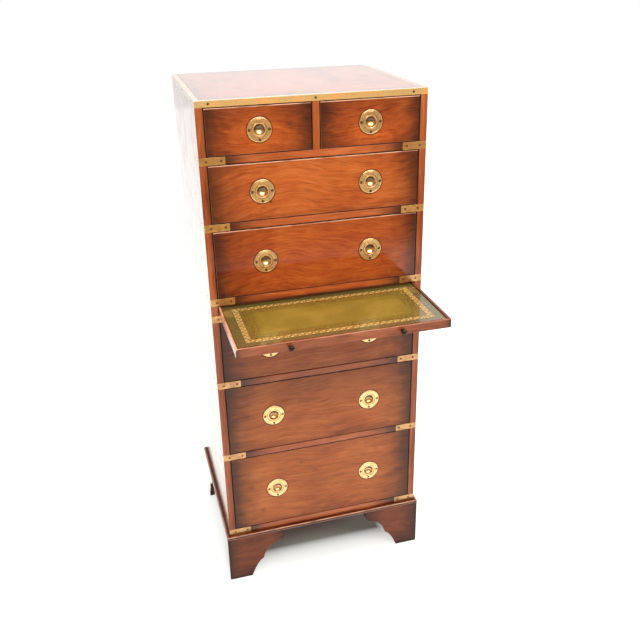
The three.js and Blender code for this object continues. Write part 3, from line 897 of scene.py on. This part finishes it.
def ribbon(bm, points, half_width):
    """A thin raised band along flat (x, y) points. half_width is a length or gives one from 0 to 1."""
    base = LEATHER_HIGH.z - TOOLING_SINK
    rows = []
    count = len(points)
    for i, point in enumerate(points):
        before, after = points[max(i - 1, 0)], points[min(i + 1, count - 1)]
        along = (Vector(after) - Vector(before)).normalized()
        width = half_width(i / (count - 1)) if callable(half_width) else half_width
        side = Vector((-along.y, along.x)) * width
        rows.append([
            bm.verts.new((point[0] + s * side.x, point[1] + s * side.y, base + h))
            for s, h in ((-1, 0), (1, 0), (1, TOOLING_HEIGHT), (-1, TOOLING_HEIGHT))
        ])
    skin(bm, rows)
    bm.faces.new(rows[0])
    bm.faces.new(rows[-1])


def swollen(half_width, blunt):
    """A band's half width that swells from blunt ends to its middle."""
    return lambda share: half_width * math.sin(math.pi * min(max(share, blunt), 1 - blunt))


def border_runs(inset_x, inset_y):
    """The four sides of a rectangle on the leather, as (start, direction, length)."""
    x0, x1 = LEATHER_LOW.x + inset_x, LEATHER_HIGH.x - inset_x
    y0, y1 = LEATHER_LOW.y + inset_y, LEATHER_HIGH.y - inset_y
    corners = [Vector((x0, y0)), Vector((x1, y0)), Vector((x1, y1)), Vector((x0, y1))]
    for start, end in zip(corners, corners[1:] + corners[:1]):
        yield start, (end - start).normalized(), (end - start).length


def border_line(bm, inset_x, inset_y, half_width):
    for start, along, length in border_runs(inset_x, inset_y):
        ribbon(bm, [tuple(start), tuple(start + along * length)], half_width)


def scroll_motif(bm, at):
    """One length of vine: a stem that waves, a curl in its bend and two leaves."""
    for flip, start in ((1, 0.0), (-1, 0.5)):
        stem = [at(start + 0.5 * i / 10, flip * STEM_HEIGHT * math.sin(math.pi * i / 10))
                for i in range(11)]
        ribbon(bm, stem, VINE_HALF_WIDTH)
        curl = []
        for i in range(13):
            turn = math.pi * (0.5 + 1.5 * i / 12)
            reach = (1 - i / 16) * CURL_REACH
            share = start + 0.25 + reach * math.cos(turn) * flip / SCROLL_PITCH
            curl.append(at(share, -flip * (CURL_DROP + reach * math.sin(turn))))
        ribbon(bm, curl, VINE_HALF_WIDTH * 0.8)
        for lean in (-1, 1):
            leaf = []
            for i in range(6):
                rise = LEAF_RISE * math.sin(math.pi * i / 5) * 1.4
                leaf.append(at(start + 0.25 + lean * 0.16 * i / 5, flip * (STEM_HEIGHT + rise)))
            ribbon(bm, leaf, swollen(VINE_HALF_WIDTH * 1.6, 0.08))


def corner_flowers(bm):
    """A small flower on each corner of the band, with four long petals and four short ones."""
    for start, _, _ in border_runs(TOOLED_BAND_INSET, TOOLED_BAND_INSET):
        for petal in range(8):
            turn = math.pi / 4 * petal
            reach = PETAL_LENGTHS[petal % 2]
            points = [(start.x + math.cos(turn) * reach * share, start.y + math.sin(turn) * reach * share)
                      for share in (0.25, 0.5, 0.75, 1.0)]
            ribbon(bm, points, swollen(PETAL_HALF_WIDTH, 0.12))


def add_tooling(gold, blind):
    bm = bmesh.new()
    for start, along, length in border_runs(TOOLED_BAND_INSET, TOOLED_BAND_INSET):
        across = Vector((-along.y, along.x))
        count = round((length - TOOLED_BAND_WIDTH) / SCROLL_PITCH)
        pitch = (length - TOOLED_BAND_WIDTH) / count
        for i in range(count):
            origin = start + along * (TOOLED_BAND_WIDTH / 2 + i * pitch)

            def at(share, out):
                point = origin + along * (share * pitch) + across * out
                return (point.x, point.y)
            scroll_motif(bm, at)
    for offset in (-0.5, 0.5):
        inset = TOOLED_BAND_INSET + offset * TOOLED_BAND_WIDTH
        border_line(bm, inset, inset, FINE_LINE_HALF_WIDTH)
    corner_flowers(bm)
    add_piece("leather_gold_tooling", mesh_from(bm, "gold_tooling"), gold, "slide")
    bm = bmesh.new()
    for inward in (0, BLIND_LINE_PITCH):
        border_line(bm, BLIND_LINE_INSET + inward, BLIND_LINE_INSET_Y + inward, BLIND_LINE_HALF_WIDTH)
    add_piece("leather_blind_line", mesh_from(bm, "blind_line"), blind, "slide")


# The whole chest

def add_rails():
    for i, node in enumerate(RAILS):
        low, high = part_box(node)
        inner = STRAP_LENGTH + 2 * MM
        between_straps = ((CHEST_LOW.x + inner, low.y, low.z), (CHEST_HIGH.x - inner, high.y, high.z))
        # Darker towards the straps, and painted shade along the gaps at the top and bottom edges
        shades = [(*between_straps, (X,), 90 * MM, 0.69), (*between_straps, (X,), 30 * MM, 0.6),
                  (low, high, (Z,), 1.5 * MM, 0.4), (low, high + FAR_UP, (Z,), 2.8 * MM, 0.9)]
        tones = RAIL_TONES
        # Painted shade: the rail above the slide, darker at its bottom and in tone
        if node == "rail_under_row_3":
            shades.append((low, high + FAR_UP, (Z,), 9 * MM, 0.7))
            tones = SHADED_RAIL_TONES
        rail = wood(f"{node}_wood", tones, X, seed=40 + i, figure=0.3, shades=shades)
        dressed(node, rail, 0.5 * MM)


def add_sides():
    for side, node, inward in ((-1, "side_panel_left", RIGHT), (1, "side_panel_right", LEFT)):
        low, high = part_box(node)
        panel = wood(f"{node}_wood", SIDE_TONES, Z, seed=60 + side, figure=0.2, knots=0.03,
                     shades=[(low, high, (Y,), 20 * MM, 0.35)],
                     under_gloss=0.18, under_level=0.3, coat=0.82)
        # Painted shade along the stiles' edges, deeper towards each stile's right-hand edge
        stile_shades = [(low, high, (X,), 1.5 * MM, 0.3), (low - FAR_RIGHT, high, (X,), 12 * MM, 0.4)]
        stile = wood(f"stile_{node}_wood", STILE_TONES, Z, seed=64 + side, figure=0.3,
                     shades=stile_shades, coat=0.8)
        inside = wood(f"inside_{node}_wood", INSIDE_TONES, Z, seed=68 + side, figure=0.3, **BARE)
        dressed(node, panel, 0.7 * MM, facing=[(FORWARD, stile), (inward, inside)])


def add_panels():
    low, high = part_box("top_panel")
    top = wood("top_wood", SIDE_TONES, X, seed=70, figure=0.4, knots=0.05,
               shades=[(low, high, (X, Y), 45 * MM, 0.6)], under_gloss=0.12, under_level=0.5)
    dressed("top_panel", top, 0.4 * MM)
    low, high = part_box("centre_divider")
    divider = wood("divider_wood", DIVIDER_TONES, Z, seed=72, figure=0.3,
                   shades=[(low, high, (X,), 3 * MM, 0.35)])
    dressed("centre_divider", divider, 0.5 * MM)
    back = wood("back_wood", BACK_TONES, Z, seed=75, figure=0.15, **BARE)
    dressed("back_panel", back, 0.3 * MM)


def add_base():
    low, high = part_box("base_frame")
    nose, bead = low.z + 0.9 * (high.z - low.z), low.z + 0.18 * (high.z - low.z)
    # Painted highlights along the front nose, the bead and the nose's ends; painted shade where the ledge
    # meets the sides
    worn_and_highlights = [({Y: low.y, Z: nose}, 1.8 * MM, 0.9), ({Y: low.y, Z: bead}, 1.2 * MM, 0.3),
            ({X: low.x, Z: nose}, 5 * MM, 0.6), ({X: high.x, Z: nose}, 5 * MM, 0.6)]
    shaded_places = [({X: CHEST_LOW.x}, 3.5 * MM, 0.8), ({X: CHEST_HIGH.x}, 3.5 * MM, 0.8)]
    front = wood("base_wood", BASE_TONES, X, seed=77, figure=0.4, worn_and_highlights=worn_and_highlights, shaded_places=shaded_places, coat=0.75)
    # Painted reflection along the nose of the side mouldings
    side = wood("base_side_wood", BASE_TONES, Y, seed=78, figure=0.4,
                worn_and_highlights=[({Z: nose}, 4 * MM, 0.6)], **SHEEN)
    dressed("base_frame", front, 0.4 * MM, facing=[(LEFT, side), (RIGHT, side)])


def add_feet():
    for i, node in enumerate(FEET):
        low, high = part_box(node)
        # Painted shade: darker towards the bottom and the sides, deeper on the right-hand feet
        reach, strength = (62 * MM, 0.85) if "right" in node else (42 * MM, 0.75)
        shades = [(low, high + FAR_UP, (X, Z), *shade) for shade in ((reach, strength), (12 * MM, 0.75))]
        foot = wood(f"{node}_wood", FOOT_TONES, X, seed=80 + i, figure=0.5, shades=shades, coat=0.65)
        outside = wood(f"{node}_side_wood", FOOT_TONES, Y, seed=84 + i, figure=0.5,
                       shades=[(low, high, (Y, Z), 34 * MM, 0.6)], **SHEEN)
        facing = [(LEFT if "left" in node else RIGHT, outside)]
        # The back feet's forward-facing ends get a dark material: painted shade
        if "back" in node:
            end = wood(f"{node}_shaded_end_wood", BASE_TONES, Z, seed=88 + i, figure=0.3, coat=0.2)
            facing.append((FORWARD, end))
        dressed(node, foot, 0.9 * MM, facing=facing)


def add_drawers():
    for i, front in enumerate(FRONTS):
        low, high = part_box(front)
        body = frame["nodes"][front]["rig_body"]
        row = front.split("_")[1]
        tones = {"1": ROW_1_TONES, "2": ROW_2_TONES, "3": ROW_3_TONES}.get(row, LOWER_TONES)
        # Darker towards the top, deepest on rows 1 and 5: painted shade from above
        shade_from_top = {"1": (75 * MM, 0.4), "5": (110 * MM, 0.3)}.get(row, (30 * MM, 0.15))
        if tones is LOWER_TONES:
            figure, end_stain, polish, highlit = 0.5, 0.72, 0.74, 0.2
        else:
            figure, end_stain, polish, highlit = 0.65, 0.6, 1.0, 0.95
        # The finish's darker ends, with painted shade in the narrow gaps at the ends and under the rail
        # above
        ends = [(100 * MM, end_stain), (38 * MM, 0.66), (4 * MM, 0.6)]
        shades = [(low, high, (X,), *end) for end in ends]
        shades += [(low - FAR_UP, high, (Z,), *top) for top in (shade_from_top, (2.2 * MM, 0.75))]
        shades.append((low, high + FAR_UP, (Z,), 22 * MM, 0.3))
        # Painted highlights: a pale line along the top edge and a fainter one along the left edge
        worn_and_highlights = [({Y: low.y, Z: high.z}, 2.4 * MM, highlit), ({X: low.x, Y: low.y}, 1.8 * MM, highlit / 5)]
        # Painted shadow round the handle plates
        plates = [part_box(node) for node, piece in frame["nodes"].items()
                  if "_plate" in node and piece["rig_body"] == body]
        veneer = wood(f"{front}_veneer", tones, X, seed=3 + 2.37 * i, figure=figure, knots=0.16,
                      shades=shades, worn_and_highlights=worn_and_highlights, coat=polish,
                      fittings=[(lowest + highest) / 2 for lowest, highest in plates])
        edge = wood(f"{front}_edge_wood", INSIDE_TONES, X, seed=30 + i, figure=0.3, **BARE)
        dressed(front, veneer, 0.4 * MM, facing=[(LEFT, edge), (RIGHT, edge), (DOWN, edge)])
        box = front.replace("_front", "_box")
        inner = wood(f"{box}_wood", PLAIN_TONES, Y, seed=20 + i, figure=0.18, **BARE)
        dressed(box, inner, 0.8 * MM)


def add_slide():
    low, high = SLIDE_LOW, Vector((SLIDE_HIGH.x, SLIDE_HIGH.y, LEATHER_HIGH.z + SLIDE_LIP_HEIGHT))
    # Painted highlights along the lip's front and left edges; painted shade along the lips' inner walls and
    # at the right-hand end
    wear_and_painted_light = {
        "worn_and_highlights": [({Y: low.y, Z: high.z}, 1.5 * MM, 0.7), ({X: low.x, Z: high.z}, 4.5 * MM, 0.9)],
        "shaded_places": [({X: LEATHER_HIGH.x}, 1.8 * MM, 0.9), ({X: LEATHER_LOW.x}, 1.2 * MM, 0.6),
                  ({X: high.x}, 3.5 * MM, 0.75)],
    }
    # Painted light: the side's tones are much lighter than the front's
    side = wood("slide_wood", LIT_SLIDE_SIDE_TONES, Y, seed=90, figure=0.4, under_gloss=0.3,
                under_level=0.2, coat=0.62, **wear_and_painted_light)
    lip = wood("slide_lip_wood", LIP_TONES, X, seed=91, figure=0.4, coat=0.7, **wear_and_painted_light)
    front = wood("slide_front_wood", SLIDE_TONES, X, seed=92, figure=0.5, coat=0.8,
                 shades=[(low, high, (X,), 40 * MM, 0.35), (low, high, (X,), 13 * MM, 0.8)],
                 worn_and_highlights=wear_and_painted_light["worn_and_highlights"])
    dressed("slide_board", side, 0.8 * MM, facing=[(FORWARD, front), (UP, lip)])
    dressed("slide_leather", leather(), 0.2 * MM)
    add_knobs(metal("aged_metal", (46, 38, 34), (84, 62, 46), 0.3))
    gold = metal("gold_leaf", (255, 212, 128), (238, 178, 96), 0.4, metallic=0.2)
    add_tooling(gold, metal("blind_tooling", (66, 52, 16), (100, 78, 26), 0.5, metallic=0.0))


def add_metal():
    def brass(name, bright, worn_and_highlights, roughness, grain, tarnish_and_shade=None):
        return metal(name, bright, worn_and_highlights, roughness, grain, tarnish_and_shade=tarnish_and_shade, lacquer=1.0)

    edging = brass("edging_brass", (255, 214, 144), (254, 190, 112), 0.42, X)
    # Painted light: a paler brass on the edging's top and side faces
    highlit = brass("edging_highlit_brass", (206, 172, 142), (190, 152, 122), 0.36, Y)
    upper = brass("upper_brass", (222, 166, 92), (192, 132, 64), 0.38, X)
    # Painted shade: a darker copy of the straps' brass below the slide
    lower = brass("shaded_lower_brass", (204, 152, 94), (178, 124, 68), 0.38, X)
    handle = brass("handle_brass", (255, 212, 146), (252, 190, 118), 0.26, Z, handle_tarnish_and_shade)
    # Painted shade: a darker copy of the handles' brass below the slide
    shaded_low_handle = brass("shaded_low_handle_brass", (232, 178, 120), (216, 154, 94), 0.26, Z, handle_tarnish_and_shade)
    screw = metal("screw_metal", (112, 66, 28), (72, 40, 18), 0.5, metallic=0.3)
    dark_screw = metal("dark_screw_metal", (62, 36, 10), (34, 18, 5), 0.7, metallic=0.0, level=0.15)
    lit_sides = [(direction, highlit) for direction in (LEFT, RIGHT, UP)]
    dressed("top_edging", edging, 0.35 * MM, facing=lit_sides)
    add_handles(handle, shaded_low_handle, dark_screw)
    add_straps(upper, lower, screw)
    add_edging_screws(dark_screw)


# The studio

def add_stage():
    """A white floor. It glows for the camera and for gloss away from the chest's shadow."""
    bm = bmesh.new()
    bmesh.ops.create_grid(bm, x_segments=8, y_segments=8, size=0.5)
    floor = new_object("floor", mesh_from(bm, "floor"))
    floor.scale = (FLOOR_WIDTH, FLOOR_BACK - FLOOR_FRONT, 1)
    floor.location = (0, (FLOOR_BACK + FLOOR_FRONT) / 2, -FLOOR_DROP)
    material, graph, shader = new_material("floor_white")
    spot = graph.split(graph.node("ShaderNodeNewGeometry").outputs["Position"])
    low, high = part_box("base_frame")
    beside = []
    for axis in (X, Y):
        middle, half = (low[axis] + high[axis]) / 2, (high[axis] - low[axis]) / 2 - FLOOR_GLOW_INSET
        beside.append(graph.most(graph.less(graph.apart(spot[axis], middle), half), 0.0))
    away = graph.hypotenuse(*beside)
    glow = graph.math("DIVIDE", away, graph.total(away, FLOOR_GLOW_REACH))
    path = graph.node("ShaderNodeLightPath").outputs
    seen = graph.most(path["Is Glossy Ray"], path["Is Transmission Ray"], path["Is Camera Ray"])
    mottle = graph.noise(graph.place(), 3.0, 3.0)
    graph.feed(shader, {
        "Base Color": graph.mix(mottle, *map(rgb, FLOOR_TONES)),
        "Roughness": 0.8,
        "Specular IOR Level": 0.0,
        "Emission Color": WHITE,
        "Emission Strength": graph.product(seen, glow),
    })
    floor.data.materials.append(material)


def add_world():
    """White where the camera looks. Gloss sees white behind the chest and a dim room in front."""
    world = bpy.data.worlds.new("studio")
    bpy.context.scene.world = world
    world.use_nodes = True
    graph = Graph(world.node_tree)
    direction = graph.split(graph.node("ShaderNodeTexCoord").outputs["Generated"])
    path = graph.node("ShaderNodeLightPath").outputs
    gloss = graph.most(path["Is Glossy Ray"], path["Is Transmission Ray"])
    room = graph.mix(graph.smooth(direction[Y], *ROOM_TO_WHITE), ROOM_COLOUR, WHITE)
    colour = graph.mix(path["Is Camera Ray"], graph.mix(gloss, SKY_COLOUR, room), WHITE)
    graph.feed(world.node_tree.nodes["Background"], {"Color": colour, "Strength": 1.0})


def add_lamp(name, place, target, size, watts):
    data = bpy.data.lights.new(name, "AREA")
    data.shape = "RECTANGLE"
    data.size, data.size_y = size
    data.energy = watts
    lamp = new_object(name, data)
    lamp.location = place
    lamp.rotation_mode = "QUATERNION"
    lamp.rotation_quaternion = (Vector(target) - Vector(place)).to_track_quat("-Z", "Y")


def add_camera():
    data = bpy.data.cameras.new("camera")
    data.sensor_width = SENSOR_WIDTH_MM
    data.lens = FOCAL_PIXELS / IMAGE_PIXELS * SENSOR_WIDTH_MM
    data.shift_x = (IMAGE_PIXELS / 2 - OPTICAL_AXIS_PIXEL[0]) / IMAGE_PIXELS
    data.shift_y = (OPTICAL_AXIS_PIXEL[1] - IMAGE_PIXELS / 2) / IMAGE_PIXELS
    forward = Vector((
        math.sin(CAMERA_YAW) * math.cos(CAMERA_PITCH),
        math.cos(CAMERA_YAW) * math.cos(CAMERA_PITCH),
        -math.sin(CAMERA_PITCH),
    ))
    level_right = Vector((math.cos(CAMERA_YAW), -math.sin(CAMERA_YAW), 0))
    level_up = level_right.cross(forward)
    right = level_right * math.cos(CAMERA_ROLL) + level_up * math.sin(CAMERA_ROLL)
    up = level_up * math.cos(CAMERA_ROLL) - level_right * math.sin(CAMERA_ROLL)
    camera = new_object("camera", data)
    place = Vector(CAMERA_FROM_FRONT) + Vector((0, FRONT_Y, 0))
    camera.matrix_world = moved(*place) @ Matrix((
        (right.x, up.x, -forward.x, 0),
        (right.y, up.y, -forward.y, 0),
        (right.z, up.z, -forward.z, 0),
        (0, 0, 0, 1),
    ))
    bpy.context.scene.camera = camera


bpy.context.scene.view_settings.view_transform = "Standard"
add_camera()
add_stage()
add_world()
for lamp in LAMPS:
    add_lamp(*lamp)
add_rails()
add_sides()
add_panels()
add_base()
add_feet()
add_drawers()
add_slide()
add_metal()
